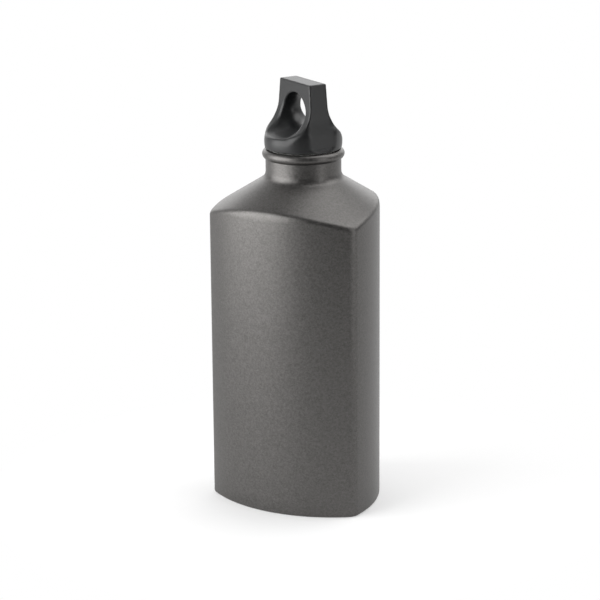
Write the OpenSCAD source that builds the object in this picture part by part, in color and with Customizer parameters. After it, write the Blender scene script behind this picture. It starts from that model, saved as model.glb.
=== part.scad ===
// Aluminium water bottle with three bulging faces, a round shoulder and a screw cap with a carrying loop.
// The origin is on the neck axis, in the plane that the bottle stands on. One corner points along -X.

/* [Body] */
// Reach of the outermost point of each rounded corner from the neck axis
corner_reach = 43.1; // [41:0.1:46]
// Reach of the middle of each face from the neck axis
face_reach = 34.8; // [33:0.1:36]
// Radius of the upright corners
corner_r = 6; // [3:0.1:9]
// Radius of the edge round the base
base_edge_r = 1.2; // [0.8:0.1:4]
// Wall of the drawn aluminium
wall = 1; // [0.6:0.05:1.4]
// Wall of the base
base_wall = 1.2; // [0.8:0.05:2]
// Width of the dome pressed up into the base
base_dome_d = 50; // [36:1:56]
// Rise of that dome
base_dome_rise = 2.6; // [1.5:0.1:5]

/* [Shoulder and neck] */
// Outer diameter of the neck
neck_d = 34.6; // [33:0.1:38]
// Height at which the neck starts to run out into the shoulder
shoulder_z = 155; // [130:0.1:200]
// Radius of the hollow between the neck and the shoulder
neck_fillet_r = 4.6; // [2:0.1:6]
// Fall of the straight part of the shoulder
shoulder_slope = 31; // [28:0.5:34]
// Length of the straight part of the shoulder
shoulder_run = 20.6; // [17:0.1:22]
// Radius of the dome that carries the shoulder down to the corners
dome_r = 39; // [30:0.5:42]
// How far below the start of the neck's hollow the faces begin to lean in
crown_drop = 17.9; // [14:0.1:24]
// Radius over which the faces lean in below the shoulder
crown_r = 14; // [10:0.5:30]
// Height of the straight neck, up to the mouth
neck_h = 10.2; // [8.5:0.1:14]
// Outer diameter of the rolled collar
collar_d = 37.6; // [37:0.1:42]
// Height of the rolled collar
collar_h = 4.6; // [3.6:0.1:5.4]

/* [Thread ring] */
// Bore of the thread ring
ring_bore_d = 28; // [26:0.1:29]
// Length of the thread ring
ring_h = 13.5; // [9:0.1:16]
// Gap between the thread ring and the neck
ring_fit = 0.05; // [0.02:0.01:0.1]

/* [Cap] */
// Greatest diameter of the cap
cap_d = 35.6; // [35:0.1:40]
// Diameter of the cap at its bottom edge
cap_base_d = 35; // [34.2:0.1:39]
// Height of the cap
cap_h = 30.6; // [29:0.1:34]
// Height of the widest part above the bottom edge
skirt_h = 3.4; // [2:0.1:4]
// Radius over which the skirt turns in
skirt_turn_r = 6.1; // [5:0.1:8]
// Angle through which the skirt turns in
skirt_turn = 30; // [25:1:45]
// Radius of the hollow flare above the skirt
bell_flare_r = 9.5; // [8:0.5:14]
// Length of the flat top
cap_top_len = 25.3; // [22:0.1:26]
// Width of the flat top
cap_top_w = 9; // [8:0.1:11]
// Radius of the hollow flare of the two broad faces
broad_flare_r = 14.6; // [12:0.1:16]
// Radius of the hollow flare of the two narrow faces
narrow_flare_r = 16; // [13:0.5:20]
// Height at which the flare of a broad face ends level
broad_flare_z = 6.3; // [5.5:0.1:7.5]
// Height at which the flare of a narrow face would end level
narrow_flare_z = 1; // [0:0.1:2]
// Lean of the bell above its flare
bell_lean = 2.6; // [1.5:0.1:4]
// Lean of the broad faces above their flares
broad_lean = 1; // [0.5:0.1:3]
// Lean of the narrow faces above their flares
narrow_lean = 6; // [3:0.5:8]
// Edge broken off round the flat top
cap_edge = 0.5; // [0.3:0.05:0.8]
// Gap between the collar and the bottom edge of the cap
cap_gap = 0.4; // [0.3:0.05:0.8]
// Turn of the closed cap about the neck axis
cap_set_angle = -59; // [-180:1:180]

/* [Loop opening] */
// Radius of the arch under the top bar, at the broad faces
arch_r = 9.6; // [8:0.1:9.8]
// How far the arch draws in towards the middle of the loop
arch_waist = 1.4; // [0.4:0.1:2]
// Thickness of the top bar above the arch
bar_h = 4.9; // [4:0.1:7]
// Lean of the straight flanks below the arch
arch_flare = 11; // [8:0.5:14]
// Height of the ridge between the two scoops, above the bottom edge of the cap
ridge_z = 11.2; // [9:0.1:13]
// Height at which a scoop runs out through the skirt
scoop_lip_z = 6.7; // [6.2:0.1:8]
// Radius of the scooped floor
scoop_r = 24; // [20:0.1:30]
// Half width of a scoop
scoop_half_w = 10.2; // [9:0.1:11]
// Squareness of the floor across a scoop, 2 for an ellipse
scoop_squareness = 2.3; // [2:0.1:3.5]
// Depth over which the floor of a scoop rises to its sides
scoop_side_h = 6; // [4:0.1:8]

/* [Plug and seal] */
// Gap between the plug and the thread ring
thread_gap = 0.3; // [0.2:0.05:0.5]
// Length of the plug below the seal
plug_len = 12.5; // [9:0.1:14]
// Wall of the plug
plug_wall = 1.8; // [1.2:0.1:2.6]
// Height of the boss that the plug has inside the cap
boss_h = 3.6; // [2.4:0.1:3.8]
// Step from the plug in to its boss
boss_step = 0.8; // [0.6:0.1:1.5]
// Gap round the boss
boss_fit = 0.05; // [0.02:0.01:0.1]
// Height of the sealing ring
seal_h = 1.6; // [1.3:0.1:2]
// Gap between the sealing ring and the faces that it works on
seal_gap = 0.1; // [0.05:0.01:0.15]
// Gap round the sealing ring
seal_side_gap = 0.3; // [0.1:0.05:0.5]
// Wall of the skirt outside the sealing ring
skirt_wall = 1.2; // [0.8:0.1:1.4]

/* [Hidden] */

// Colours as photographed
body_colour = "#8a8680";
ring_colour = "#d9d9d4";
cap_colour = "#3b3c3d";
seal_colour = "#c9c9c6";

// Faces on a full circle, on the ball of the base and on the section of the collar
round_fn = 96;
ball_fn = 48;
roll_fn = 32;
// Steps on an arc of an outline, and on a corner, a face, the base edge and the crown of the body
arc_steps = 10;
corner_steps = 8;
face_steps = 16;
edge_steps = 5;
crown_steps = 6;
// How far a cut runs past the face that it opens, and the height of a slice that a hull joins
overrun = 2;
sliver = 0.01;

// The three corners of the body
corners = 3;
corner_turn = 360 / corners;

// Heights on the neck axis
mouth_z = shoulder_z + neck_h;
cap_z = mouth_z + cap_gap;
cap_top_z = cap_z + cap_h;
seal_z = mouth_z + seal_gap;
seat_z = seal_z + seal_h + seal_gap;
plug_z = seat_z - plug_len;

// Radii about the neck axis
neck_r = neck_d / 2;
neck_bore_r = neck_r - wall;
plug_r = ring_bore_d / 2 - thread_gap;
boss_r = plug_r - boss_step;
seal_in_r = plug_r + seal_gap;
recess_r = cap_base_d / 2 - skirt_wall;
seal_out_r = min(neck_bore_r, recess_r) - seal_side_gap;

// Distance of the corner circles from the axis, and the radius of a face tangent to two of them
corner_dist = corner_reach - corner_r;
face_sink = corner_dist / 2 - face_reach;
face_r = (corner_r * corner_r - face_sink * face_sink - corner_dist * corner_dist * 3 / 4)
    / (2 * (face_sink + corner_r));
face_centre = face_r - face_reach;
// Half the angle that a face takes up about its own centre, and a corner about its own
face_half = asin(corner_dist * sin(corner_turn / 2) / (face_r - corner_r));
corner_half = corner_turn / 2 - face_half;

// Height at which the faces begin to lean in, and the angle that they reach at the top of the crown
crown_z = shoulder_z - crown_drop;
crown_turn = acos(1 - (corner_r - wall) / (2 * crown_r));

// Ball that presses the base up
base_ball_r = (base_dome_d * base_dome_d / 4 + base_dome_rise * base_dome_rise) / (2 * base_dome_rise);

// Centre of the hollow at the neck, and of the dome that follows the straight part of the shoulder
fillet_centre = [neck_r + neck_fillet_r, shoulder_z];
dome_centre = fillet_centre - (neck_fillet_r + dome_r) * [sin(shoulder_slope), cos(shoulder_slope)]
    + shoulder_run * [cos(shoulder_slope), -sin(shoulder_slope)];

// Point at a distance and a direction from the axis
function polar(r, dir) = r * [cos(dir), sin(dir)];

// Points on an arc, from one angle to another
function arc(centre, r, from, to, steps = arc_steps) =
    [for (i = [0 : steps]) centre + polar(r, from + (to - from) * i / steps)];

// The same points less the first and the last
function without_ends(points) = [for (i = [1 : len(points) - 2]) points[i]];

// The same points on the other side of the upright axis, in reverse
function mirrored(points) = [for (i = [len(points) - 1 : -1 : 0]) [-points[i][0], points[i][1]]];

// Section of the body: rounded corners joined by bulging faces, drawn in by inset
function section(inset) =
    [for (i = [0 : corners - 1])
        let (corner_dir = 180 + i * corner_turn, face_dir = corner_dir + corner_turn / 2)
            each concat(
                arc(polar(corner_dist, corner_dir), corner_r - inset,
                    corner_dir - corner_half, corner_dir + corner_half, corner_steps),
                without_ends(arc(polar(-face_centre, face_dir), face_r - inset,
                    face_dir - face_half, face_dir + face_half, face_steps)))];

// Straight length of that section
module straight(inset, from_z, to_z) {
    translate([0, 0, from_z])
        linear_extrude(height = to_z - from_z)
            polygon(section(inset));
}

// Column of that section standing at floor_z, with a rounded base edge and faces that lean in at the top
module three_faced_column(inset, edge_r, floor_z) {
    edge = min(edge_r, corner_r - inset);
    lean_r = crown_r - inset;
    hull() {
        for (i = [0 : edge_steps - 1])
            let (turn = 90 * i / edge_steps, step_z = floor_z + edge * (1 - cos(turn)))
                straight(inset + edge * (1 - sin(turn)), step_z, step_z + sliver);
        straight(inset, floor_z + edge, crown_z);
        for (i = [1 : crown_steps])
            let (turn = crown_turn * i / crown_steps)
                straight(inset + lean_r * (1 - cos(turn)), crown_z, crown_z + lean_r * sin(turn));
    }
    // The core runs on up to the mouth, inside the crown
    straight(inset + lean_r * (1 - cos(crown_turn)) + sliver, floor_z + edge, mouth_z + overrun);
}

// Solid under the shoulder and inside the neck, drawn in by inset
module shoulder_solid(inset, top_z) {
    rotate_extrude($fn = round_fn)
        polygon(concat(
            [[0, top_z], [0, -overrun], [dome_centre[0] + dome_r - inset, -overrun]],
            arc(dome_centre, dome_r - inset, 0, 90 - shoulder_slope),
            arc(fillet_centre, neck_fillet_r + inset, -90 - shoulder_slope, -180),
            [[neck_r - inset, top_z]]));
}

// Collar rolled out round the mouth, with a round section
module collar() {
    roll_r = collar_h / 2;
    roll_centre = [collar_d / 2 - roll_r, mouth_z - roll_r];
    rotate_extrude($fn = round_fn)
        intersection() {
            translate(roll_centre)
                circle(r = roll_r, $fn = roll_fn);
            translate([neck_bore_r + wall / 2, mouth_z - collar_h - overrun])
                square([collar_d, collar_h + 2 * overrun]);
        }
}

module bottle_body() {
    color(body_colour)
        difference() {
            union() {
                intersection() {
                    three_faced_column(0, base_edge_r, 0);
                    shoulder_solid(0, mouth_z);
                }
                collar();
            }
            difference() {
                intersection() {
                    three_faced_column(wall, base_edge_r - wall / 2, base_wall);
                    shoulder_solid(wall, mouth_z + overrun / 2);
                }
                translate([0, 0, base_dome_rise - base_ball_r])
                    sphere(r = base_ball_r + base_wall, $fn = ball_fn);
            }
            translate([0, 0, base_dome_rise - base_ball_r])
                sphere(r = base_ball_r, $fn = ball_fn);
        }
}

module neck_thread_insert() {
    color(ring_colour)
        translate([0, 0, mouth_z - ring_h])
            difference() {
                cylinder(h = ring_h, r = neck_bore_r - ring_fit, $fn = round_fn);
                translate([0, 0, -overrun])
                    cylinder(h = ring_h + 2 * overrun, d = ring_bore_d, $fn = round_fn);
            }
}

module cap_gasket() {
    color(seal_colour)
        translate([0, 0, seal_z])
            difference() {
                cylinder(h = seal_h, r = seal_out_r, $fn = round_fn);
                translate([0, 0, -overrun])
                    cylinder(h = seal_h + 2 * overrun, r = seal_in_r, $fn = round_fn);
            }
}

module cap_plug() {
    color(cap_colour)
        difference() {
            union() {
                translate([0, 0, plug_z])
                    cylinder(h = plug_len, r = plug_r, $fn = round_fn);
                translate([0, 0, seat_z])
                    cylinder(h = boss_h - boss_fit, r = boss_r, $fn = round_fn);
            }
            translate([0, 0, plug_z - overrun])
                cylinder(h = plug_len + overrun - plug_wall / 2, r = plug_r - plug_wall, $fn = round_fn);
        }
}

// Round bell that the cap is cut from, standing on its bottom edge
module cap_bell() {
    turn_centre = [cap_d / 2 - skirt_turn_r, skirt_h];
    turn_end = turn_centre + skirt_turn_r * [cos(skirt_turn), sin(skirt_turn)];
    flare_centre = turn_end + bell_flare_r * [cos(skirt_turn), sin(skirt_turn)];
    flare_end = flare_centre - bell_flare_r * [cos(bell_lean), sin(bell_lean)];
    rotate_extrude($fn = round_fn)
        polygon(concat(
            [[0, 0], [cap_base_d / 2 - cap_edge, 0], [cap_base_d / 2, cap_edge]],
            arc(turn_centre, skirt_turn_r, 0, skirt_turn),
            arc(flare_centre, bell_flare_r, 180 + skirt_turn, 180 + bell_lean),
            [[flare_end[0] - (cap_h - flare_end[1]) * tan(bell_lean), cap_h], [0, cap_h]]));
}

// Outline of a pair of leaning faces that flare out to the skirt, from the bottom edge up
module flared_outline(top_w, flare_r, flare_end_z, lean) {
    // The flare ends level, or where it leaves the bell
    flare_z = flare_end_z + flare_r;
    flare_x = top_w / 2 + (cap_h - flare_z + flare_r * sin(lean)) * tan(lean) + flare_r * cos(lean);
    side = concat(
        [[cap_d, 0], [cap_d, flare_end_z]],
        arc([flare_x, flare_z], flare_r, 270, 180 + lean),
        [[top_w / 2 + cap_edge * tan(lean), cap_h - cap_edge], [top_w / 2 - cap_edge, cap_h]]);
    polygon(concat(side, mirrored(side)));
}

// Outline of an arch about its own centre, with its flanks run down past the scoops
module arch_outline(r, drop) {
    flank_end = [r / cos(arch_flare) + drop * tan(arch_flare), -drop];
    side = concat([flank_end], arc([0, 0], r, arch_flare, 90));
    polygon(concat(side, mirrored(side)));
}

// Passage under the top bar, which widens from the middle of the loop to both broad faces
module arch_passage() {
    arch_z = cap_h - bar_h - arch_r;
    waist_r = arch_r - arch_waist;
    widening = arch_waist / waist_r / (cap_top_w / 2);
    for (side = [0, 1])
        mirror([0, side, 0])
            translate([0, 0, arch_z])
                rotate([90, 0, 0])
                    linear_extrude(height = cap_d, scale = 1 + cap_d * widening)
                        arch_outline(waist_r, arch_z);
}

// Half of a squared ellipse across a scoop: place across, and rise above the floor
function floor_rise() =
    [for (i = [arc_steps : -1 : -arc_steps])
        let (across = sin(90 * i / arc_steps),
             depth = pow(1 - pow(abs(across), scoop_squareness), 1 / scoop_squareness))
            [scoop_half_w * across, scoop_side_h * (1 - depth)]];

// Outline of the hole right through the loop: round at the bottom, open at the top
module tunnel_outline() {
    polygon(concat(
        [[scoop_half_w, cap_h]],
        [for (point = floor_rise()) [point[0], ridge_z + point[1]]],
        [[-scoop_half_w, cap_h]]));
}

// Wheel that cuts one scoop, turning about an axis along the loop
module scoop_wheel() {
    // The wheel passes through the ridge over the neck axis and through the lip at the skirt
    lip = [cap_d / 2, scoop_lip_z];
    ridge = [0, ridge_z];
    chord = norm(lip - ridge);
    square_to_chord = [ridge[1] - lip[1], lip[0] - ridge[0]] / chord;
    centre = (lip + ridge) / 2 + sqrt(scoop_r * scoop_r - chord * chord / 4) * square_to_chord;
    translate([0, centre[0], centre[1]])
        rotate([0, 90, 0])
            rotate_extrude($fn = round_fn)
                polygon(concat(
                    [[0, scoop_half_w]],
                    [for (point = floor_rise()) [scoop_r - point[1], point[0]]],
                    [[0, -scoop_half_w]]));
}

module cap_shell() {
    color(cap_colour)
        translate([0, 0, cap_z])
            rotate([0, 0, cap_set_angle])
                difference() {
                    intersection() {
                        cap_bell();
                        rotate([90, 0, 0])
                            linear_extrude(height = 2 * cap_d, center = true)
                                flared_outline(cap_top_len, narrow_flare_r, narrow_flare_z, narrow_lean);
                        rotate([90, 0, 90])
                            linear_extrude(height = 2 * cap_d, center = true)
                                flared_outline(cap_top_w, broad_flare_r, broad_flare_z, broad_lean);
                    }
                    intersection() {
                        arch_passage();
                        union() {
                            scoop_wheel();
                            mirror([0, 1, 0])
                                scoop_wheel();
                            rotate([90, 0, 0])
                                linear_extrude(height = 2 * cap_d, center = true)
                                    tunnel_outline();
                        }
                    }
                    translate([0, 0, -overrun])
                        cylinder(h = seat_z - cap_z + overrun, r = recess_r, $fn = round_fn);
                    translate([0, 0, -overrun])
                        cylinder(h = seat_z - cap_z + boss_h + overrun, r = boss_r + boss_fit, $fn = round_fn);
                }
}

bottle_body();
neck_thread_insert();
cap_gasket();
cap_plug();
cap_shell();
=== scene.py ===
"""Aluminium water bottle with a carrying loop on its screw cap, built round its fixed frame.

Each piece stands in for the solid of the same part and rides on that part's body.
Lengths are in metres, in the frame's own axes: the neck axis is Z and the bottle stands on Z = 0.
"""
import math

import bpy
import numpy as np
from bpy.props import FloatProperty, IntProperty, PointerProperty
from mathutils import Euler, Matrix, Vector


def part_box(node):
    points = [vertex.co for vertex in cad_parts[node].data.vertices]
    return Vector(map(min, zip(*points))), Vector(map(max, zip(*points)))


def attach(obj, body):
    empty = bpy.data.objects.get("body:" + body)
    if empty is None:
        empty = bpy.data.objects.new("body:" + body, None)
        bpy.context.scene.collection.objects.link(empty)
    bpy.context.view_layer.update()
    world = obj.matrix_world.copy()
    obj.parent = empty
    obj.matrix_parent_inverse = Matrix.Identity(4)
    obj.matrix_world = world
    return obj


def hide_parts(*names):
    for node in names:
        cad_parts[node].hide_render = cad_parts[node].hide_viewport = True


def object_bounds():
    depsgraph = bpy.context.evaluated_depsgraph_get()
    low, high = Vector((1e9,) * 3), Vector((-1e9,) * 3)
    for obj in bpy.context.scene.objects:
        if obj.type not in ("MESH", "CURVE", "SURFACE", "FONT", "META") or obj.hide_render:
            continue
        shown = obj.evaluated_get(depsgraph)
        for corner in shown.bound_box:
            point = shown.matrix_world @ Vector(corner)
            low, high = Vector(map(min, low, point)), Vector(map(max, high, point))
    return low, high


bl_info = {
    "name": "Aluminium Water Bottle",
    "version": (1, 0, 0),
    "blender": (4, 5, 0),
    "location": "View3D > Sidebar > Bottle",
    "description": "Makes a coated aluminium bottle, its screw cap and the table that it stands on",
    "category": "Add Mesh",
}

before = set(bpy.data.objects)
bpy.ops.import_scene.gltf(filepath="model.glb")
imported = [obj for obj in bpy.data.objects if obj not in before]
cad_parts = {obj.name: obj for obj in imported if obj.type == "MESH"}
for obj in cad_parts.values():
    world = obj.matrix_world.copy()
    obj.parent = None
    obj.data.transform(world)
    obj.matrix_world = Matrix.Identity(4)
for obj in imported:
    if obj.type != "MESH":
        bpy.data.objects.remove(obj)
CAD_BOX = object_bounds()
BODY_LOW, BODY_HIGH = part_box("bottle_body")
RING_LOW, RING_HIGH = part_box("neck_thread_insert")
SEAL_LOW, SEAL_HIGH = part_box("cap_gasket")
PLUG_LOW, PLUG_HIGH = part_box("cap_plug")
CAP_LOW, CAP_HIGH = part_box("cap_shell")

MM = 0.001


# Settings that a user would change

def length_setting(name, description, default):
    """Setting for a length in metres."""
    return FloatProperty(name=name, description=description, default=default, unit="LENGTH")


def angle_setting(name, description, degrees):
    """Setting for an angle, whose default is given in degrees."""
    return FloatProperty(name=name, description=description, default=math.radians(degrees),
                         subtype="ANGLE")


class BottleBodySettings(bpy.types.PropertyGroup):
    """Sizes of the drawn aluminium body."""
    corner_reach: length_setting(
        "Corner Reach", "Distance of a corner from the neck axis", -BODY_LOW.x)
    face_reach: length_setting(
        "Face Reach", "Distance of the middle of a face from the neck axis", BODY_HIGH.x)
    corner_radius: length_setting(
        "Corner Radius", "Radius of the upright corners", 6 * MM)
    base_edge: length_setting(
        "Base Edge", "Radius of the edge round the base", 1.2 * MM)
    crease: length_setting(
        "Crease", "Length over which a face turns into the shoulder, each way", 1.5 * MM)
    wall: length_setting(
        "Wall", "Thickness of the aluminium", 1 * MM)
    dome_width: length_setting(
        "Base Dome", "Width of the dome pressed up into the base", 50 * MM)
    dome_rise: length_setting(
        "Dome Rise", "Rise of the dome pressed up into the base", 2.6 * MM)
    neck_radius: length_setting(
        "Neck Radius", "Outer radius of the neck", 17.3 * MM)
    neck_hollow: length_setting(
        "Neck Hollow", "Radius of the hollow between the neck and the shoulder", 4.6 * MM)
    neck_height: length_setting(
        "Neck Height", "Height of the straight neck, up to the mouth", 10.2 * MM)
    shoulder_slope: angle_setting(
        "Shoulder Slope", "Fall of the straight part of the shoulder", 31.8)
    shoulder_run: length_setting(
        "Shoulder Run", "Length of the straight part of the shoulder", 23 * MM)
    shoulder_dome: length_setting(
        "Shoulder Dome", "Radius of the dome that falls to the corners", 30 * MM)
    crown_drop: length_setting(
        "Crown Drop", "Distance below the neck's hollow at which the faces lean in", 17.3 * MM)
    crown_radius: length_setting(
        "Crown Radius", "Radius over which the faces lean in", 15 * MM)
    collar_radius: length_setting(
        "Collar Radius", "Outer radius of the rolled collar", 18.8 * MM)
    collar_height: length_setting(
        "Collar Height", "Height of the rolled collar", 4.6 * MM)
    rim_fall: length_setting(
        "Rim Fall", "Fall of the rim from its top to the bore", 0.25 * MM)


class ThreadSettings(bpy.types.PropertyGroup):
    """Sizes of the screw thread between the cap and the neck."""
    pitch: length_setting(
        "Pitch", "Distance from one ridge to the next", 3 * MM)
    starts: IntProperty(
        name="Starts", description="Number of ridges that wind side by side", default=2, min=1)
    bore: length_setting(
        "Ring Bore", "Radius inside the ridges of the thread ring", 14 * MM)
    depth: length_setting(
        "Depth", "Height of a ridge", 0.9 * MM)
    run_out: length_setting(
        "Run Out", "Height over which a ridge grows at its start and fades at its end", 1.2 * MM)
    play: length_setting(
        "Play", "Gap between the plug and the thread ring", 0.3 * MM)
    plug_wall: length_setting(
        "Plug Wall", "Wall of the hollow plug", 1.8 * MM)
    plug_root: length_setting(
        "Plug Root", "Step from the plug's rim in to the wall between its ridges", 0.35 * MM)
    boss_step: length_setting(
        "Boss Step", "Step from the plug in to the boss inside the cap", 0.8 * MM)
    boss_height: length_setting(
        "Boss Height", "Height of the boss inside the cap", 3.55 * MM)


class CapSettings(bpy.types.PropertyGroup):
    """Sizes of the moulded cap and its carrying loop."""
    radius: length_setting(
        "Radius", "Greatest radius of the cap", 17.8 * MM)
    base_radius: length_setting(
        "Base Radius", "Radius at the bottom edge", 17.5 * MM)
    height: length_setting(
        "Height", "Height above the bottom edge", CAP_HIGH.z - CAP_LOW.z)
    base_edge: length_setting(
        "Base Edge", "Radius of the bottom edge", 0.35 * MM)
    skirt_height: length_setting(
        "Skirt Height", "Height of the widest part", 3.4 * MM)
    skirt_radius: length_setting(
        "Skirt Turn Radius", "Radius over which the skirt turns in", 6.1 * MM)
    skirt_turn: angle_setting(
        "Skirt Turn", "Angle through which the skirt turns in", 30)
    skirt_lift: length_setting(
        "Skirt Lift", "How much taller the skirt is beside a narrow face", 4 * MM)
    bell_flare: length_setting(
        "Bell Flare", "Radius of the hollow above the skirt", 9.5 * MM)
    bell_lean: angle_setting(
        "Bell Lean", "Lean of the loop's corners above that hollow", 2.6)
    narrow_flare: length_setting(
        "Narrow Flare", "Radius of the hollow under a narrow face", 16 * MM)
    narrow_lean: angle_setting(
        "Narrow Lean", "Lean of the narrow faces", 6)
    narrow_floor: length_setting(
        "Narrow Floor", "Height at which the hollow of a narrow face would end level", 1 * MM)
    narrow_flat: length_setting(
        "Narrow Flat", "Distance of the flat that a narrow face cuts on the skirt", 16.4 * MM)
    narrow_turn: length_setting(
        "Narrow Turn", "Radius between that flat and the hollow above it", 1 * MM)
    flat_foot: length_setting(
        "Flat Foot", "How far that flat runs out at the bottom edge", 1.1 * MM)
    foot_height: length_setting(
        "Foot Height", "Height over which it runs out", 2.2 * MM)
    broad_flare: length_setting(
        "Broad Flare", "Radius of the hollow under a broad face", 14.6 * MM)
    broad_lean: angle_setting(
        "Broad Lean", "Lean of the broad faces", 1)
    broad_floor: length_setting(
        "Broad Floor", "Height at which the hollow of a broad face ends level", 6.3 * MM)
    top_length: length_setting(
        "Top Length", "Length of the flat top", 25.3 * MM)
    top_width: length_setting(
        "Top Width", "Width of the flat top", 9 * MM)
    edge: length_setting(
        "Edge", "Radius of the edges", 0.55 * MM)
    lip: length_setting(
        "Lip", "Radius of the edge round the opening", 0.6 * MM)
    lip_roll: length_setting(
        "Lip Roll", "How much rounder that edge is where a scoop runs out", 0.8 * MM)
    arch: length_setting(
        "Arch", "Radius of the arch under the top bar", 9.5 * MM)
    bar: length_setting(
        "Bar", "Thickness of the top bar", 4.75 * MM)
    arch_draft: angle_setting(
        "Arch Draft", "Angle at which the opening widens from its waist", 28)
    arch_lean: angle_setting(
        "Arch Lean", "Lean of the flanks of the opening", 11)
    waist: length_setting(
        "Waist", "Rounding of the waist of the opening and of the ridge in its floor", 4 * MM)
    ridge: length_setting(
        "Ridge", "Height of the ridge between the two scoops, before it is rounded", 10.8 * MM)
    scoop_lip: length_setting(
        "Scoop Lip", "Height at which a scoop runs out through the skirt", 6.9 * MM)
    scoop_radius: length_setting(
        "Scoop Radius", "Radius of the scooped floor", 16 * MM)
    scoop_half: length_setting(
        "Scoop Half Width", "Half width of a scoop", 15 * MM)
    scoop_squareness: FloatProperty(
        name="Scoop Squareness", description="Squareness of the floor across a scoop, 2 for an ellipse",
        default=2.3, min=2, max=4)
    scoop_side: length_setting(
        "Scoop Side", "Height over which the floor rises to its sides", 6.8 * MM)
    saddle: length_setting(
        "Saddle", "Radius that joins a scoop to the level floor at the ridge's height", 2 * MM)
    bowl: length_setting(
        "Bowl", "Radius between the floor and the flanks of the opening", 8 * MM)
    turn: angle_setting(
        "Turn", "Turn of the closed cap about the neck axis", -59)
    recess: length_setting(
        "Seal Recess", "Radius of the recess for the sealing ring", 16.3 * MM)
    mesh_step: length_setting(
        "Mesh Step", "Size of the faces of the cap's mesh", 0.4 * MM)


class StageSettings(bpy.types.PropertyGroup):
    """The place and aim of the camera."""
    lens: FloatProperty(
        name="Lens", description="Focal length in millimetres on a 36 mm sensor", default=150)
    pitch: angle_setting(
        "Pitch", "How far the camera looks down", 15.66)
    roll: angle_setting(
        "Roll", "Turn of the picture about its centre", -0.44)
    yaw: angle_setting(
        "Yaw", "Turn of the camera about the neck axis", -0.88)
    aside: length_setting(
        "Aside", "Distance of the camera to the left of the neck axis", 2.05 * MM)
    back: length_setting(
        "Back", "Level distance of the camera from the neck axis", 1114.2 * MM)
    height: length_setting(
        "Height", "Height of the camera above the table", 405.6 * MM)


# Colour and shader helpers

# A Mix node names its inputs alike for every kind of data, so they are given by number
MIX_SHARE = 0
MIX_VALUES = (2, 3)
MIX_COLOURS = (6, 7)
MIXED_COLOUR = 2


def linear(code):
    """Linear colour of an sRGB hex value such as "#8a8680"."""
    parts = [int(code[i:i + 2], 16) / 255 for i in (1, 3, 5)]
    return [c / 12.92 if c <= 0.04045 else ((c + 0.055) / 1.055) ** 2.4 for c in parts] + [1.0]


def add_node(tree, kind, inputs=None, **settings):
    """A node with its settings; an input takes a socket, a node's first output or a plain value."""
    node = tree.nodes.new(kind)
    for key, value in settings.items():
        setattr(node, key, value)
    for key, value in (inputs or {}).items():
        if isinstance(value, bpy.types.Node):
            value = value.outputs[0]
        if isinstance(value, bpy.types.NodeSocket):
            tree.links.new(value, node.inputs[key])
        else:
            node.inputs[key].default_value = value
    return node


def tint(tree, pattern, start, end, first, last):
    """Colour that runs from the first to the last while a pattern runs from start to end."""
    share = add_node(tree, "ShaderNodeMapRange", {"Value": pattern, "From Min": start, "From Max": end})
    mix = add_node(tree, "ShaderNodeMix",
                   {MIX_SHARE: share, MIX_COLOURS[0]: linear(first), MIX_COLOURS[1]: linear(last)},
                   data_type="RGBA")
    return mix.outputs[MIXED_COLOUR]


def per_mm(size_mm):
    """Texture scale, in metres, at which one feature is this many millimetres wide."""
    return 1 / (size_mm * MM)


def material_of(finish):
    """The one material named for a finish, which makes its shader from the object's own coordinates."""
    material = bpy.data.materials.get(finish.__name__)
    if material:
        return material
    material = bpy.data.materials.new(finish.__name__)
    material.use_nodes = True
    tree = material.node_tree
    tree.nodes.clear()
    place = add_node(tree, "ShaderNodeTexCoord").outputs["Object"]
    add_node(tree, "ShaderNodeOutputMaterial", {"Surface": finish(tree, place)})
    return material


# Finishes

def powder_coated_aluminium(tree, place):
    """Satin metallic powder coat, baked on: grey-brown, with fine bright and dark flakes."""
    # Flakes are about 0.1 mm across; they are drawn at 0.5 mm so that they show at all
    flakes = add_node(tree, "ShaderNodeTexVoronoi", {"Vector": place, "Scale": per_mm(0.5)})
    flake_tone = add_node(tree, "ShaderNodeSeparateColor", {"Color": flakes.outputs["Color"]})
    clouds = add_node(tree, "ShaderNodeTexNoise",
                      {"Vector": place, "Scale": per_mm(1.1), "Detail": 3.0, "Roughness": 0.6})
    cloud_tone = add_node(tree, "ShaderNodeMapRange",
                          {"Value": clouds, "From Min": 0.3, "From Max": 0.7, "To Max": 0.55})
    mottle = add_node(tree, "ShaderNodeMath", {0: flake_tone, 1: 0.45, 2: cloud_tone},
                      operation="MULTIPLY_ADD")
    grain = add_node(tree, "ShaderNodeMath", {0: flake_tone, 1: 0.5, 2: clouds},
                     operation="MULTIPLY_ADD")
    bump = add_node(tree, "ShaderNodeBump", {"Height": grain, "Strength": 0.35, "Distance": 0.03 * MM})
    rough = add_node(tree, "ShaderNodeMapRange", {
        "Value": clouds, "From Min": 0.3, "From Max": 0.7, "To Min": 0.36, "To Max": 0.46})
    return add_node(tree, "ShaderNodeBsdfPrincipled", {
        "Base Color": tint(tree, mottle, 0, 1, "#504f4d", "#686665"),
        "Roughness": rough, "Normal": bump, "Metallic": 0.9})


def lacquered_aluminium(tree, place):
    """Drawn aluminium under a clear lacquer inside the bottle: bright, with faint draw lines."""
    # Draw lines run up the wall, about 0.4 mm apart
    along = add_node(tree, "ShaderNodeMapping", {"Vector": place, "Scale": (1.0, 1.0, 0.02)})
    lines = add_node(tree, "ShaderNodeTexNoise",
                     {"Vector": along, "Scale": per_mm(0.4), "Detail": 2.0})
    bump = add_node(tree, "ShaderNodeBump", {"Height": lines, "Strength": 0.3, "Distance": 0.02 * MM})
    return add_node(tree, "ShaderNodeBsdfPrincipled", {
        "Base Color": tint(tree, lines, 0.35, 0.65, "#b9b9b6", "#cfcfcc"),
        "Roughness": 0.36, "Normal": bump, "Metallic": 1.0})


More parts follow.
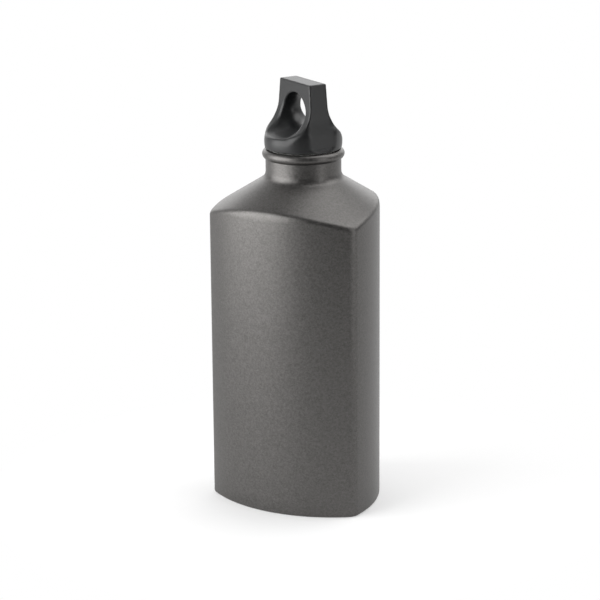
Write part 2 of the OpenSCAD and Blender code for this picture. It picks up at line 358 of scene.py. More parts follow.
def moulded_black_polypropylene(tree, place):
    """Injection-moulded black polypropylene from a finely eroded mould: satin, faintly pebbled."""
    # The spark texture is about 0.1 mm; it is drawn at 0.35 mm so that it shows at all
    pebbles = add_node(tree, "ShaderNodeTexNoise",
                       {"Vector": place, "Scale": per_mm(0.35), "Detail": 3.0, "Roughness": 0.55})
    clouds = add_node(tree, "ShaderNodeTexNoise", {"Vector": place, "Scale": per_mm(6), "Detail": 2.0})
    bump = add_node(tree, "ShaderNodeBump", {"Height": pebbles, "Strength": 0.3, "Distance": 0.03 * MM})
    rough = add_node(tree, "ShaderNodeMapRange", {
        "Value": pebbles, "From Min": 0.3, "From Max": 0.7, "To Min": 0.34, "To Max": 0.44})
    return add_node(tree, "ShaderNodeBsdfPrincipled", {
        "Base Color": tint(tree, clouds, 0.3, 0.7, "#0d0e0f", "#131415"),
        "Roughness": rough, "Normal": bump, "IOR": 1.49})


def moulded_natural_polypropylene(tree, place):
    """Injection-moulded uncoloured polypropylene: milky white, with a faintly cloudy tone."""
    clouds = add_node(tree, "ShaderNodeTexNoise", {"Vector": place, "Scale": per_mm(4), "Detail": 3.0})
    return add_node(tree, "ShaderNodeBsdfPrincipled", {
        "Base Color": tint(tree, clouds, 0.3, 0.7, "#dedfda", "#e8e9e5"),
        "Roughness": 0.38, "IOR": 1.49})


def pressed_silicone(tree, place):
    """Compression-moulded silicone rubber: pale grey, matt, with a soft bloom."""
    bloom = add_node(tree, "ShaderNodeTexNoise", {"Vector": place, "Scale": per_mm(1.5), "Detail": 4.0})
    return add_node(tree, "ShaderNodeBsdfPrincipled", {
        "Base Color": tint(tree, bloom, 0.35, 0.65, "#c3c3c0", "#d2d2cf"),
        "Roughness": 0.62, "IOR": 1.41})


def white_paper_sweep(tree, place):
    """White paper sweep: it takes the shadow near the bottle, lightened there by a painted white glow, and
    fades to plain white round it.
    """
    away = add_node(tree, "ShaderNodeVectorMath", {0: place}, operation="LENGTH").outputs["Value"]
    # Painted glow: for camera rays and reflections the paper is mixed 0.3 with a white glow within 45 mm of
    # the neck axis, which lightens the bottle's shadow there; the mix grows to plain white glow by 150 mm
    # out
    fade = add_node(tree, "ShaderNodeMapRange", {
        "Value": away, "From Min": 45 * MM, "From Max": 150 * MM, "To Min": 0.3})
    path = add_node(tree, "ShaderNodeLightPath")
    seen = path.outputs["Is Camera Ray"]
    for ray in ("Is Glossy Ray", "Is Transmission Ray"):
        seen = add_node(tree, "ShaderNodeMath", {0: seen, 1: path.outputs[ray]},
                        operation="MAXIMUM").outputs[0]
    share = add_node(tree, "ShaderNodeMath", {0: fade, 1: seen}, operation="MULTIPLY")
    paper = add_node(tree, "ShaderNodeBsdfDiffuse", {"Color": linear("#fafafa")})
    white = add_node(tree, "ShaderNodeEmission", {"Color": linear("#ffffff"), "Strength": 1.0})
    return add_node(tree, "ShaderNodeMixShader", {0: share, 1: paper, 2: white})


# Mesh helpers

ROUND_COLUMNS = 144
SHARP_ANGLE = math.radians(35)


def unit(turn):
    """Level direction at a turn about the neck axis, as a row of two."""
    return np.stack([np.cos(turn), np.sin(turn)], -1)


def reach(points):
    """Distances of points from the neck axis."""
    return np.hypot(points[:, 0], points[:, 1])


def shares(count):
    """Shares of a way that is taken in so many equal steps, without its start."""
    return np.linspace(0, 1, count + 1)[1:]


def eased(share):
    """A share held between 0 and 1, with a soft start and end."""
    share = np.clip(share, 0, 1)
    return share ** 2 * (3 - 2 * share)


def arc_points(centre, radius, start, end, count):
    """Points on an arc in the plane of distance and height."""
    return np.asarray(centre) + radius * unit(np.linspace(start, end, count))


def ring_at(places, height):
    """Ring of points from their places on the level and one height, or a height for each."""
    return np.column_stack([places, np.broadcast_to(height, len(places))])


def turned(outline):
    """Rings of an outline of distance and height turned about the neck axis."""
    around = unit(np.linspace(0, 2 * math.pi, ROUND_COLUMNS, endpoint=False))
    return [ring_at(distance * around, height) for distance, height in outline]


def loft(name, rings, poles=()):
    """Mesh through rings of as many points each, closed by two poles or joined end to end.

    Its faces are in the order of the rings, so that a share of them can take another material.
    """
    columns = len(rings[0])
    last = (len(rings) - 1) * columns
    sides = [(a, (a + 1) % columns) for a in range(columns)]
    bands = [(low, low + columns) for low in range(0, last, columns)]
    if not poles:
        bands.append((last, 0))
    faces = [(low + a, low + b, high + b, high + a) for low, high in bands for a, b in sides]
    if poles:
        first_pole, last_pole = last + columns, last + columns + 1
        faces = [(first_pole, b, a) for a, b in sides] + faces \
            + [(last + a, last + b, last_pole) for a, b in sides]
    mesh = bpy.data.meshes.new(name)
    mesh.from_pydata([*np.concatenate(rings).tolist(), *poles], [], faces)
    mesh.update()
    return mesh


def add_piece(mesh, body, slot, node, *finishes):
    """Add the object of a mesh, with its name, riding on its body in place of its CAD node."""
    piece = bpy.data.objects.new(mesh.name, mesh)
    bpy.context.scene.collection.objects.link(piece)
    for finish in finishes:
        mesh.materials.append(material_of(finish))
    mesh.shade_smooth()
    mesh.set_sharp_from_angle(angle=SHARP_ANGLE)
    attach(piece, body)
    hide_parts(node)


# Body

CORNERS = 3
# Points round a corner and a face, and rings or points along each stretch of the outline
CORNER_COLUMNS, FACE_COLUMNS = 14, 34
DOME_RINGS, EDGE_RINGS, WALL_RINGS, LEAN_RINGS = 9, 7, 20, 5
CREASE_RINGS, SHOULDER_RINGS, HOLLOW_RINGS, COLLAR_RINGS = 6, 16, 8, 15
# Shares of the way from the dome to the edge of the base at which its flat ring has points
BASE_FLAT_SHARES = (0.25, 0.6)
# Share of the crown's radius up which a face can lean in
LEAN_SHARE = 0.8
# Halvings of the height in which the crease is sought
HALVINGS = 40


def body_section(body):
    """Points round the body, and their outward directions: its corners joined by its faces."""
    third = 2 * math.pi / CORNERS
    corner_distance = body.corner_reach - body.corner_radius
    half_chord = corner_distance * math.sin(third / 2)
    sink = corner_distance * math.cos(third / 2) - body.face_reach
    face_radius = (body.corner_radius ** 2 - sink ** 2 - half_chord ** 2) / (2 * (sink + body.corner_radius))
    face_centre = face_radius - body.face_reach
    face_half = math.asin(half_chord / (face_radius - body.corner_radius))
    corner_half = third / 2 - face_half
    points, outward = [], []
    for corner in range(CORNERS):
        corner_turn = math.pi + corner * third
        face_turn = corner_turn + third / 2
        for centre, turn, half, radius, count in (
                (corner_distance, corner_turn, corner_half, body.corner_radius, CORNER_COLUMNS),
                (-face_centre, face_turn, face_half, face_radius, FACE_COLUMNS)):
            turns = turn + np.linspace(-half, half, count, endpoint=False)
            points.append(centre * unit(turn) + radius * unit(turns))
            outward.append(unit(turns))
    return np.concatenate(points), np.concatenate(outward)


class ShoulderOutline:
    """Outline of the shoulder and neck, drawn in by inset: dome, straight slope, hollow, neck."""

    def __init__(self, body, inset):
        self.slope = body.shoulder_slope
        across = np.array([math.sin(self.slope), math.cos(self.slope)])
        down = np.array([math.cos(self.slope), -math.sin(self.slope)])
        self.hollow_radius = body.neck_hollow + inset
        self.hollow_centre = np.array([body.neck_radius + body.neck_hollow,
                                       BODY_HIGH.z - body.neck_height])
        self.hollow_start = self.hollow_centre - self.hollow_radius * across
        self.dome_radius = body.shoulder_dome - inset
        self.dome_centre = self.hollow_centre + body.shoulder_run * down \
            - (body.neck_hollow + body.shoulder_dome) * across
        self.dome_end = self.dome_centre + self.dome_radius * across

    def height(self, distance):
        """Height of the shoulder at a distance from the neck axis."""
        over = np.clip(distance - self.dome_centre[0], 0, self.dome_radius)
        dome = self.dome_centre[1] + np.sqrt(self.dome_radius ** 2 - over ** 2)
        straight = self.dome_end[1] + (self.dome_end[0] - distance) * math.tan(self.slope)
        return np.where(distance > self.dome_end[0], dome, straight)

    def hollow(self):
        """Points of the hollow past its start, from the slope up to the neck."""
        return arc_points(self.hollow_centre, self.hollow_radius,
                          -math.pi / 2 - self.slope, -math.pi, HOLLOW_RINGS + 1)[1:]


def rise_rings(body, inset, floor):
    """Rings from the base edge up over the crease and shoulder to the neck, and directions round it."""
    points, outward = body_section(body)
    outline = ShoulderOutline(body, inset)
    edge = body.base_edge
    rings = []
    for turn in np.linspace(0, math.pi / 2, EDGE_RINGS):
        places = points - outward * (inset + edge * (1 - math.sin(turn)))
        rings.append(ring_at(places, floor + edge * (1 - math.cos(turn))))
    lean_start = outline.hollow_centre[1] - body.crown_drop
    lean_radius = body.crown_radius - inset

    def wall(height):
        over = np.clip(height - lean_start, 0, LEAN_SHARE * lean_radius)
        return points - outward * (inset + lean_radius - np.sqrt(lean_radius ** 2 - over ** 2))[:, None]

    low = np.full(len(points), lean_start - lean_radius)
    high = np.full(len(points), lean_start + lean_radius)
    for _ in range(HALVINGS):
        crease = (low + high) / 2
        under = crease < outline.height(reach(wall(crease)))
        low, high = np.where(under, crease, low), np.where(under, high, crease)
    bend_start = crease - body.crease
    lean_foot = np.minimum(lean_start, bend_start)
    for start, end, count in ((floor + edge, lean_foot, WALL_RINGS), (lean_foot, bend_start, LEAN_RINGS)):
        for share in shares(count):
            height = start + share * (end - start)
            rings.append(ring_at(wall(height), height))
    # The wall bends into the shoulder on a curve that starts along the wall and ends along the shoulder
    bend = rings[-1]
    corner = ring_at(wall(crease), crease)
    around = corner[:, :2] / reach(corner)[:, None]
    start = reach(corner) - body.crease
    shoulder = ring_at(around * start[:, None], outline.height(start))
    for t in shares(CREASE_RINGS):
        rings.append((1 - t) ** 2 * bend + 2 * t * (1 - t) * corner + t ** 2 * shoulder)
    for share in shares(SHOULDER_RINGS):
        distance = start + share * (outline.hollow_start[0] - start)
        rings.append(ring_at(around * distance[:, None], outline.height(distance)))
    rings += [ring_at(around * distance, height) for distance, height in outline.hollow()]
    return rings, around


def base_rings(body, around, edge_ring, floor):
    """Rings from near the base's centre out over its dome to the start of the base edge."""
    dome_radius = body.dome_width / 2
    ball = (dome_radius ** 2 + body.dome_rise ** 2) / (2 * body.dome_rise)
    rings = []
    for share in shares(DOME_RINGS):
        distance = share * dome_radius
        fall = ball - math.sqrt(ball ** 2 - distance ** 2)
        rings.append(ring_at(around * distance, floor + body.dome_rise - fall))
    rim = rings[-1]
    return rings + [rim + (edge_ring - rim) * share for share in BASE_FLAT_SHARES]


def make_body(body):
    """Drawn bottle body: outside from the base up to the collar, then the inside down again."""
    outer, around = rise_rings(body, 0, 0)
    inner, _ = rise_rings(body, body.wall, body.wall)
    base = base_rings(body, around, outer[0], 0)
    inner_base = base_rings(body, around, inner[0], body.wall)
    mouth = BODY_HIGH.z
    roll = body.collar_height / 2
    roll_centre = (body.collar_radius - roll, mouth - roll)
    # The roll starts where it meets the neck and ends over the bore
    meet = -math.pi / 2 + math.asin((body.neck_radius - roll_centre[0]) / roll)
    collar = [(body.neck_radius, roll_centre[1] + roll * math.sin(meet)),
              *arc_points(roll_centre, roll, meet, math.pi / 2, COLLAR_RINGS + 1)[1:],
              (body.neck_radius - body.wall, mouth - body.rim_fall)]
    rim = [ring_at(around * distance, height) for distance, height in collar]
    mesh = loft("bottle_body_drawn", base + outer + rim + inner[::-1] + inner_base[::-1],
                [(0, 0, body.dome_rise), (0, 0, body.wall + body.dome_rise)])
    # The faces past the rim are inside and take the second material
    outside = len(around) * len(base + outer + rim)
    index = np.zeros(len(mesh.polygons), np.int32)
    index[outside:] = 1
    mesh.polygons.foreach_set("material_index", index)
    return mesh


# Thread

THREAD_STEP = 0.2 * MM
SEAL_EDGE_POINTS = 5
# Widths of a ridge's crest and of each flank, as shares of the pitch
CREST_SHARE, FLANK_SHARE = 0.22, 0.16
# The ring's ridges wind midway between the plug's
RING_PHASE_SHARE = 0.5


def thread_ridge(phase):
    """Height of a ridge, from 0 to 1, at a phase of its pitch."""
    off = np.abs((phase % 1) - 0.5)
    return eased((CREST_SHARE / 2 + FLANK_SHARE - off) / FLANK_SHARE)


def threaded_rings(thread, radius, depth, low, high, phase_share=0):
    """Rings up a wall with helical ridges of a depth, negative for ridges that point inwards."""
    turn = np.linspace(0, 2 * math.pi, ROUND_COLUMNS, endpoint=False)
    rings = []
    for height in np.linspace(low, high, int((high - low) / THREAD_STEP) + 1):
        phase = height / thread.pitch - thread.starts * turn / (2 * math.pi) + phase_share
        fade = np.clip(min(height - low, high - height) / thread.run_out, 0, 1)
        distance = radius + depth * thread_ridge(phase) * fade
        rings.append(ring_at(distance[:, None] * unit(turn), height))
    return rings


def make_thread_ring(thread):
    """Thread ring in the neck: plain outside, two helical ridges inside."""
    low, high, outer = RING_LOW.z, RING_HIGH.z, RING_HIGH.x
    edge = 0.3 * MM
    root = thread.bore + thread.depth
    outside = turned([(outer - edge, low), (outer, low + edge), (outer, high - edge),
                      (outer - edge, high), (root + edge, high)])
    inside = threaded_rings(thread, root, -thread.depth, low + edge, high - edge, RING_PHASE_SHARE)
    bottom = turned([(root + edge, low)])
    return loft("neck_thread_ring", outside + inside[::-1] + bottom)


def make_plug(thread):
    """Hollow plug under the cap: two helical ridges outside, a boss pressed up into the cap."""
    low, top, rim = PLUG_LOW.z, PLUG_HIGH.z, PLUG_HIGH.x
    edge = 0.35 * MM
    corner = 1.2 * MM
    rim_height, rim_foot = 0.4 * MM, 0.6 * MM
    seat = top - thread.boss_height
    root = rim - thread.plug_root
    bore = rim - thread.plug_wall
    boss = rim - thread.boss_step
    ceiling = seat - thread.plug_wall / 2
    hollow = turned([(bore - corner, ceiling), (bore, ceiling - corner), (bore, low + edge),
                     (bore + edge, low), (root - edge, low)])
    outside = threaded_rings(thread, root, thread.depth, low + edge, seat - rim_foot)
    upper = turned([(rim, seat - rim_height), (rim, seat), (boss, seat), (boss, top - edge),
                    (boss - edge, top)])
    return loft("cap_threaded_plug", hollow + outside + upper, [(0, 0, ceiling), (0, 0, top)])


def make_sealing_ring(thread):
    """Flat sealing ring with rounded edges, a little wider inside than the plug."""
    low, high, outer = SEAL_LOW.z, SEAL_HIGH.z, SEAL_HIGH.x
    edge = 0.4 * MM
    plug_gap = 0.1 * MM
    inner = thread.bore - thread.play + plug_gap
    outline = []
    for centre, quarter in (((outer - edge, low + edge), -1), ((outer - edge, high - edge), 0),
                            ((inner + edge, high - edge), 1), ((inner + edge, low + edge), 2)):
        outline += list(arc_points(centre, edge, quarter * math.pi / 2, (quarter + 1) * math.pi / 2,
                                   SEAL_EDGE_POINTS))
    return loft("cap_sealing_ring", turned(outline))


# Cap, as distances to its surfaces

# Cosines of the turns from a narrow side, 59 and 24.5 degrees, between which the skirt gets taller
LIFT_START, LIFT_END = 0.515, 0.91
# Share of the cap's radius at which the lip starts to roll over, and the share over which it does
ROLL_START_SHARE, ROLL_SHARE = 1 / 2, 1 / 3
# A scoop's side stops just short of upright
SCOOP_END_SHARE = 0.999
# Rounds in which the mesh settles, the share of its step that a slope is taken over, the least slope
SETTLE_ROUNDS = 4
PROBE_SHARE = 0.02
LEAST_SLOPE = 0.5


def rounded_max(a, b, radius):
    """Of two distances, the greater, with the edge between their surfaces rounded."""
    over = np.hypot(np.maximum(a + radius, 0), np.maximum(b + radius, 0))
    return np.minimum(np.maximum(a, b), -radius) + over


def rounded_min(a, b, radius):
    """Of two distances, the lesser, with the hollow between their surfaces filled to a radius."""
    return -rounded_max(-a, -b, radius)


def flared_side(across, height, top_half, lean, flare, floor, top):
    """Distance outside a leaning side that flares out below, to end level at floor."""
    run_end = floor + flare * (1 - math.sin(lean))
    foot = top_half + (top - run_end) * math.tan(lean)
    centre = (foot + flare * math.cos(lean), floor + flare)
    side = (across - top_half - (top - height) * math.tan(lean)) * math.cos(lean)
    hollow = flare - np.hypot(across - centre[0], height - centre[1])
    above = (height - centre[1]) * math.cos(lean) - (across - centre[0]) * math.sin(lean) > 0
    return np.where(above, side, np.where(across > centre[0], height - floor, hollow))


def bell_side(distance, height, cap):
    """Distance outside a skirt that turns in and flares up to a leaning side."""
    flare, lean = cap.bell_flare, cap.bell_lean
    along = (math.cos(cap.skirt_turn), math.sin(cap.skirt_turn))
    skirt = (cap.radius - cap.skirt_radius, cap.skirt_height)
    centre = (skirt[0] + (cap.skirt_radius + flare) * along[0],
              skirt[1] + (cap.skirt_radius + flare) * along[1])
    taper = np.clip(1 - height / cap.skirt_height, 0, 1) ** 2
    wall = distance - cap.radius - (cap.base_radius - cap.radius) * taper
    skirt_arc = np.hypot(distance - skirt[0], height - skirt[1]) - cap.skirt_radius
    hollow = flare - np.hypot(distance - centre[0], height - centre[1])
    foot = (centre[0] - flare * math.cos(lean), centre[1] - flare * math.sin(lean))
    side = (distance - foot[0] + (height - foot[1]) * math.tan(lean)) * math.cos(lean)
    above_turn = (height - skirt[1]) * along[0] - (distance - skirt[0]) * along[1] > 0
    above_flare = (height - foot[1]) * math.cos(lean) - (distance - foot[0]) * math.sin(lean) > 0
    upper = np.where(above_turn, np.where(above_flare, side, hollow), skirt_arc)
    return np.where(height < skirt[1], wall, upper)


def loop_opening(x, y, height, cap):
    """Distance outside the opening: an arch that widens to both faces, above two scoops."""
    # The waist of the arch and the ridge are rounded over by bending the distance from the middle plane
    bent = np.hypot(y, cap.waist)
    radius = cap.arch + (bent - math.hypot(cap.top_width / 2, cap.waist)) * math.tan(cap.arch_draft)
    arch_height = cap.height - cap.bar - cap.arch
    flank = x * math.cos(cap.arch_lean) + (height - arch_height) * math.sin(cap.arch_lean) - radius
    arch = np.hypot(x, height - arch_height) - radius
    leaning = (height - arch_height) * math.cos(cap.arch_lean) < x * math.sin(cap.arch_lean)
    passage = np.where(leaning, flank, arch) * math.cos(cap.arch_draft)
    share = np.clip(x / cap.scoop_half, 0, SCOOP_END_SHARE)
    rise = cap.scoop_side * (1 - (1 - share ** cap.scoop_squareness) ** (1 / cap.scoop_squareness))
    lip = np.array([math.hypot(cap.radius, cap.waist), cap.scoop_lip])
    ridge = np.array([cap.waist, cap.ridge])
    chord = np.linalg.norm(lip - ridge)
    square = np.array([ridge[1] - lip[1], lip[0] - ridge[0]]) / chord
    hub = (lip + ridge) / 2 + math.sqrt(cap.scoop_radius ** 2 - chord ** 2 / 4) * square
    scoop = np.hypot(bent - hub[0], height - hub[1]) - (cap.scoop_radius - rise)
    tunnel = cap.ridge + rise - height
    return rounded_max(passage, rounded_min(scoop, tunnel, cap.saddle), cap.bowl)


def cap_distance(points, cap, thread):
    """Distance outside the cap, from points in its own axes: X along the loop, Z up."""
    x, y, height = np.abs(points[..., 0]), np.abs(points[..., 1]), points[..., 2]
    distance = np.hypot(x, y)
    # The skirt gets taller from the broad side to the narrow side
    aside = x / np.maximum(distance, cap.edge)
    tall = cap.skirt_height + cap.skirt_lift * eased((aside - LIFT_START) / (LIFT_END - LIFT_START))
    lowered = np.where(height < tall, height / tall * cap.skirt_height, height - tall + cap.skirt_height)
    bell = bell_side(distance, lowered, cap)
    narrow = flared_side(x, height, cap.top_length / 2, cap.narrow_lean, cap.narrow_flare,
                         cap.narrow_floor, cap.height)
    # The flat runs out at its foot, so that a wall stays round the seal's recess
    foot = cap.flat_foot * np.clip(1 - height / cap.foot_height, 0, 1)
    narrow = rounded_max(narrow, x - cap.narrow_flat - foot, cap.narrow_turn)
    broad = flared_side(y, height, cap.top_width / 2, cap.broad_lean, cap.broad_flare,
                        cap.broad_floor, cap.height)
    solid = bell
    for cut, radius in ((narrow, cap.edge), (broad, cap.edge), (height - cap.height, cap.edge),
                        (-height, cap.base_edge)):
        solid = rounded_max(solid, cut, radius)
    # The edge of the opening is crisp on the loop and rolls over where a scoop runs out
    roll = eased((distance - ROLL_START_SHARE * cap.radius) / (ROLL_SHARE * cap.radius))
    solid = rounded_max(solid, -loop_opening(x, y, height, cap), cap.lip + cap.lip_roll * roll)
    # The seal's recess below and the hole for the plug's boss are cut out from underneath
    top = PLUG_HIGH.z - CAP_LOW.z
    recess = np.maximum(distance - cap.recess, height - (top - thread.boss_height))
    boss = np.maximum(distance - (PLUG_HIGH.x - thread.boss_step), height - top)
    return np.maximum(np.maximum(solid, -recess), -boss)


def zero_surface(distance, low, high, step):
    """Vertices and quads of the surface where a distance is nought, from a grid of cells."""
    axes = [np.arange(a, b + step, step) for a, b in zip(low, high)]
    grid = np.stack(np.meshgrid(*axes, indexing="ij"), -1)
    value = distance(grid)
    inside = value < 0
    cells = tuple(n - 1 for n in value.shape)

    def corner(array, i, j, k):
        return array[i:i + cells[0], j:j + cells[1], k:k + cells[2]]

    # A vertex goes in each cell that the surface passes through, amid the crossings of its edges
    corners = [(i, j, k) for i in (0, 1) for j in (0, 1) for k in (0, 1)]
    filled = sum(corner(inside, *c).astype(np.int8) for c in corners)
    active = (filled > 0) & (filled < len(corners))
    index = np.full(cells, -1)
    index[active] = np.arange(active.sum())
    total = np.zeros((active.sum(), 3))
    count = np.zeros((active.sum(), 1))
    for a in corners:
        for axis in range(3):
            if a[axis]:
                continue
            b = tuple(c + (n == axis) for n, c in enumerate(a))
            va, vb = corner(value, *a)[active], corner(value, *b)[active]
            crossed = ((va < 0) != (vb < 0))[:, None]
            share = (va / np.where(va == vb, 1, va - vb))[:, None]
            pa, pb = corner(grid, *a)[active], corner(grid, *b)[active]
            total += np.where(crossed, pa + (pb - pa) * share, 0)
            count += crossed
    # A quad joins the four cells round each edge of the grid that the surface crosses
    quads = []
    for axis in range(3):
        u, v = (axis + 1) % 3, (axis + 2) % 3
        first = [slice(None)] * 3
        second = [slice(None)] * 3
        first[axis], second[axis] = slice(None, -1), slice(1, None)
        a, b = inside[tuple(first)], inside[tuple(second)]
        for outward in (False, True):
            where = np.argwhere((a != b) & (a == outward))
            where = where[(where[:, u] > 0) & (where[:, v] > 0)]
            around = []
            for du, dv in ((-1, -1), (0, -1), (0, 0), (-1, 0)):
                cell = where.copy()
                cell[:, u] += du
                cell[:, v] += dv
                around.append(index[tuple(cell.T)])
            quad = np.stack(around, 1)
            quads.append(quad if outward else quad[:, ::-1])
    return total / count, np.concatenate(quads)


def settle(points, distance, step):
    """Points drawn onto the zero surface of a distance along its slope."""
    probe = PROBE_SHARE * step
    for _ in range(SETTLE_ROUNDS):
        slope = np.stack([(distance(points + probe * axis) - distance(points - probe * axis)) / (2 * probe)
                          for axis in np.eye(3)], -1)
        size = np.maximum((slope ** 2).sum(-1, keepdims=True), LEAST_SLOPE ** 2)
        move = -distance(points)[:, None] * slope / size
        points = points + np.clip(move, -step / 2, step / 2)
    return points


def make_cap(cap, thread):
    """Moulded cap: a bell cut to a loop by two pairs of flared faces, with its scooped opening."""
    def distance(points):
        return cap_distance(points, cap, thread)

    step = cap.mesh_step
    reach_out = cap.radius + 2 * step
    points, quads = zero_surface(distance, (-reach_out, -reach_out, -2 * step),
                                 (reach_out, reach_out, cap.height + 2 * step), step)
    points = settle(points, distance, step)
    turn = np.array([[math.cos(cap.turn), math.sin(cap.turn), 0],
                     [-math.sin(cap.turn), math.cos(cap.turn), 0], [0, 0, 1]])
    points = points @ turn + np.array([0, 0, CAP_LOW.z])
    mesh = bpy.data.meshes.new("cap_with_loop")
    mesh.from_pydata(points.tolist(), [], quads.tolist())
    mesh.update()
    return mesh


# Stage

SENSOR_WIDTH_MM = 36
# The table ends short of the camera, so that little of its paper reflects in the bottle's front
TABLE_REACH, TABLE_FRONT = 3.0, -0.48
MIDDLE = (0, 0, CAD_BOX[1].z / 2)
# Each softbox has its place, its target, its width and height, and its power in watts
SOFTBOXES = {
    "softbox_left": ((-0.5, -0.2, 0.32), (0, -0.05, 0.32), (0.66, 0.6), 5.7),
    "softbox_right": ((0.45, -0.33, 0.3), (0, 0, 0.3), (0.15, 0.5), 0.66),
    "softbox_back": ((0, 1.1, 0.45), MIDDLE, (1.6, 0.6), 4.3),
    "softbox_top": ((0.42, 0.1, 0.82), MIDDLE, (0.6, 1.1), 5),
}


def studio_world():
    """White to the camera; a soft studio to everything else, dark on the camera's side."""
    world = bpy.data.worlds.new("studio")
    world.use_nodes = True
    tree = world.node_tree
    tree.nodes.clear()
    direction = add_node(tree, "ShaderNodeTexCoord").outputs["Generated"]
    parts = add_node(tree, "ShaderNodeSeparateXYZ", {"Vector": direction})
    behind = add_node(tree, "ShaderNodeMapRange", {
        "Value": parts.outputs["Y"], "From Min": -0.2, "From Max": 0.65, "To Min": 0.055, "To Max": 0.8})
    seen = add_node(tree, "ShaderNodeLightPath").outputs["Is Camera Ray"]
    strength = add_node(tree, "ShaderNodeMix",
                        {MIX_SHARE: seen, MIX_VALUES[0]: behind, MIX_VALUES[1]: 1.0}, data_type="FLOAT")
    light = add_node(tree, "ShaderNodeBackground", {"Color": linear("#ffffff"), "Strength": strength})
    add_node(tree, "ShaderNodeOutputWorld", {"Surface": light})
    return world


def add_softbox(name, place, target, size, power):
    """Area lamp of a size, turned to its target."""
    lamp = bpy.data.lights.new(name, "AREA")
    lamp.shape = "RECTANGLE"
    lamp.size, lamp.size_y = size
    lamp.energy = power
    holder = bpy.data.objects.new(name, lamp)
    holder.location = place
    holder.rotation_euler = (Vector(target) - Vector(place)).to_track_quat("-Z", "Y").to_euler()
    bpy.context.scene.collection.objects.link(holder)


def add_table():
    """Level sheet of white paper that the bottle stands on."""
    mesh = bpy.data.meshes.new("table")
    outline = [(-TABLE_REACH, TABLE_FRONT, 0), (TABLE_REACH, TABLE_FRONT, 0),
               (TABLE_REACH, TABLE_REACH, 0), (-TABLE_REACH, TABLE_REACH, 0)]
    mesh.from_pydata(outline, [], [(0, 1, 2, 3)])
    mesh.materials.append(material_of(white_paper_sweep))
    table = bpy.data.objects.new("table", mesh)
    bpy.context.scene.collection.objects.link(table)


def add_camera(stage):
    """Camera at the photograph's angle."""
    camera = bpy.data.cameras.new("camera")
    camera.sensor_width = SENSOR_WIDTH_MM
    camera.lens = stage.lens
    holder = bpy.data.objects.new("camera", camera)
    turn = Euler((0, 0, stage.yaw)).to_matrix()
    tilt = Euler((math.pi / 2 - stage.pitch, 0, 0)).to_matrix()
    roll = Euler((0, 0, stage.roll)).to_matrix()
    holder.location = turn @ Vector((-stage.aside, -stage.back, stage.height))
    holder.rotation_euler = (turn @ tilt @ roll).to_euler()
    bpy.context.scene.collection.objects.link(holder)
    bpy.context.scene.camera = holder


# Operators

class BottleOperator:
    """What the operators of this panel share."""
    bl_options = {"REGISTER", "UNDO"}


class OBJECT_OT_bottle_body(BottleOperator, bpy.types.Operator):
    """Make the drawn and powder-coated body"""
    bl_idname = "object.bottle_body"
    bl_label = "Bottle Body"

    def execute(self, context):
        add_piece(make_body(context.scene.bottle_body), "bottle", "coated_aluminium", "bottle_body",
                  powder_coated_aluminium, lacquered_aluminium)
        return {"FINISHED"}


class OBJECT_OT_bottle_thread_ring(BottleOperator, bpy.types.Operator):
    """Make the thread ring inside the neck"""
    bl_idname = "object.bottle_thread_ring"
    bl_label = "Thread Ring"

    def execute(self, context):
        add_piece(make_thread_ring(context.scene.bottle_thread), "bottle", "natural_plastic",
                  "neck_thread_insert", moulded_natural_polypropylene)
        return {"FINISHED"}


class OBJECT_OT_bottle_cap(BottleOperator, bpy.types.Operator):
    """Make the cap with its carrying loop"""
    bl_idname = "object.bottle_cap"
    bl_label = "Cap"

    def execute(self, context):
        scene = context.scene
        add_piece(make_cap(scene.bottle_cap, scene.bottle_thread), "cap", "black_plastic", "cap_shell",
                  moulded_black_polypropylene)
        return {"FINISHED"}


class OBJECT_OT_bottle_plug(BottleOperator, bpy.types.Operator):
    """Make the threaded plug under the cap"""
    bl_idname = "object.bottle_plug"
    bl_label = "Plug"

    def execute(self, context):
        add_piece(make_plug(context.scene.bottle_thread), "cap", "black_plastic", "cap_plug",
                  moulded_black_polypropylene)
        return {"FINISHED"}


class OBJECT_OT_bottle_sealing_ring(BottleOperator, bpy.types.Operator):
    """Make the sealing ring between the cap and the mouth"""
    bl_idname = "object.bottle_sealing_ring"
    bl_label = "Sealing Ring"

    def execute(self, context):
        add_piece(make_sealing_ring(context.scene.bottle_thread), "seal", "seal_rubber", "cap_gasket",
                  pressed_silicone)
        return {"FINISHED"}


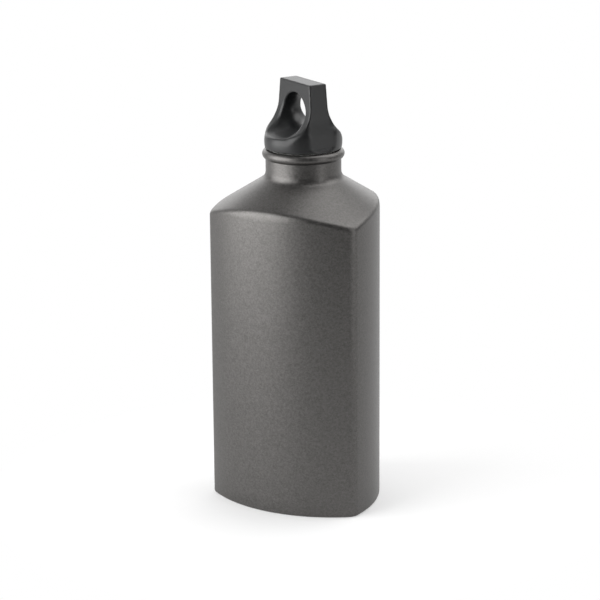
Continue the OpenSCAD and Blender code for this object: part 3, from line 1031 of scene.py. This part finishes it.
class OBJECT_OT_bottle_stage(BottleOperator, bpy.types.Operator):
    """Make the table, the lamps and the camera"""
    bl_idname = "object.bottle_stage"
    bl_label = "Stage"

    def execute(self, context):
        add_table()
        context.scene.world = studio_world()
        for name, (place, target, size, power) in SOFTBOXES.items():
            add_softbox(name, place, target, size, power)
        add_camera(context.scene.bottle_stage)
        context.scene.view_settings.view_transform = "Standard"
        return {"FINISHED"}


# Each part of the panel has its title, its settings and its operators
PANEL_PARTS = (
    ("Body", "bottle_body", (OBJECT_OT_bottle_body,)),
    ("Cap", "bottle_cap", (OBJECT_OT_bottle_cap,)),
    ("Thread", "bottle_thread", (OBJECT_OT_bottle_thread_ring, OBJECT_OT_bottle_plug,
                                 OBJECT_OT_bottle_sealing_ring)),
    ("Stage", "bottle_stage", (OBJECT_OT_bottle_stage,)),
)


class VIEW3D_PT_water_bottle(bpy.types.Panel):
    """Sidebar panel that makes the bottle piece by piece."""
    bl_label = "Water Bottle"
    bl_space_type = "VIEW_3D"
    bl_region_type = "UI"
    bl_category = "Bottle"

    def draw(self, context):
        for title, group, operators in PANEL_PARTS:
            box = self.layout.box()
            box.label(text=title)
            settings = getattr(context.scene, group)
            for key in settings.bl_rna.properties.keys():
                if key not in {"rna_type", "name"}:
                    box.prop(settings, key)
            for operator in operators:
                box.operator(operator.bl_idname)


SETTINGS = {
    "bottle_body": BottleBodySettings,
    "bottle_thread": ThreadSettings,
    "bottle_cap": CapSettings,
    "bottle_stage": StageSettings,
}
CLASSES = (
    *SETTINGS.values(),
    *(operator for _, _, operators in PANEL_PARTS for operator in operators),
    VIEW3D_PT_water_bottle,
)


def register():
    for cls in CLASSES:
        bpy.utils.register_class(cls)
    for key, cls in SETTINGS.items():
        setattr(bpy.types.Scene, key, PointerProperty(type=cls))


def unregister():
    for key in SETTINGS:
        delattr(bpy.types.Scene, key)
    for cls in reversed(CLASSES):
        bpy.utils.unregister_class(cls)


def main():
    register()
    bpy.ops.object.bottle_body()
    bpy.ops.object.bottle_thread_ring()
    bpy.ops.object.bottle_cap()
    bpy.ops.object.bottle_plug()
    bpy.ops.object.bottle_sealing_ring()
    bpy.ops.object.bottle_stage()


if __name__ == "__main__":
    main()
